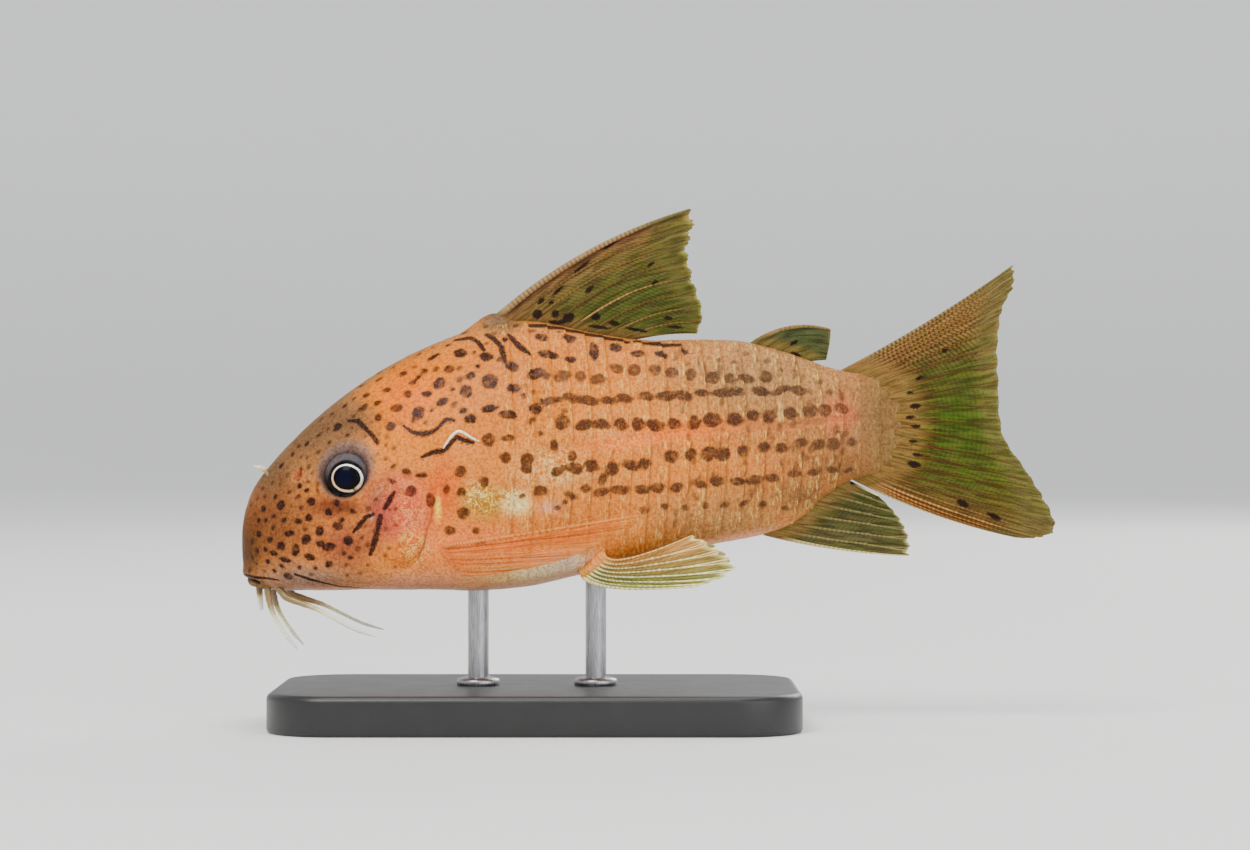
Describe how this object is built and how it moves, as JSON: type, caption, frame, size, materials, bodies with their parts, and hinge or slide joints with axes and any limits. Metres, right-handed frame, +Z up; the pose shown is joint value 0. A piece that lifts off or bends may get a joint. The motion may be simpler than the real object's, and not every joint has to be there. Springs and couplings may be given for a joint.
{
  "type": "corydoras catfish model",
  "caption": "Life-size corydoras catfish with plated flanks, raised dorsal fin, forked tail fin and short barbels, held level on a small display stand.",
  "frame": {"origin": "centre of the whole model's footprint box, on the underside of the stand's foot", "axes": "+X from the snout to the tail fin, +Y to the fish's right, +Z up"},
  "size_m": [0.0626, 0.024, 0.0395],
  "materials": {
    "skin": "peach-orange skin with small dark brown spots, satin and slightly wet",
    "fin": "olive, half clear fin web with paler rays and brown spots",
    "barbel": "ivory, half clear",
    "eye": "black pupil in a silver and blue-grey ring, wet gloss",
    "stand_foot": "satin black",
    "stand_rod": "brushed"
  },
  "bodies": {
    "root": {"head": "skin", "trunk": "skin", "tail": "skin", "eye_left": "eye", "eye_right": "eye", "dorsal_fin": "fin", "adipose_fin": "fin", "tail_fin": "fin", "anal_fin": "fin", "pectoral_fin_left": "fin", "pectoral_fin_right": "fin", "pelvic_fin_left": "fin", "pelvic_fin_right": "fin", "upper_barbel_left": "barbel", "upper_barbel_right": "barbel", "lower_barbel_left": "barbel", "lower_barbel_right": "barbel", "chin_barbel_left": "barbel", "chin_barbel_right": "barbel", "stand_foot": "stand_foot", "stand_rod_front": "stand_rod", "stand_rod_rear": "stand_rod"}
  },
  "joints": []
}
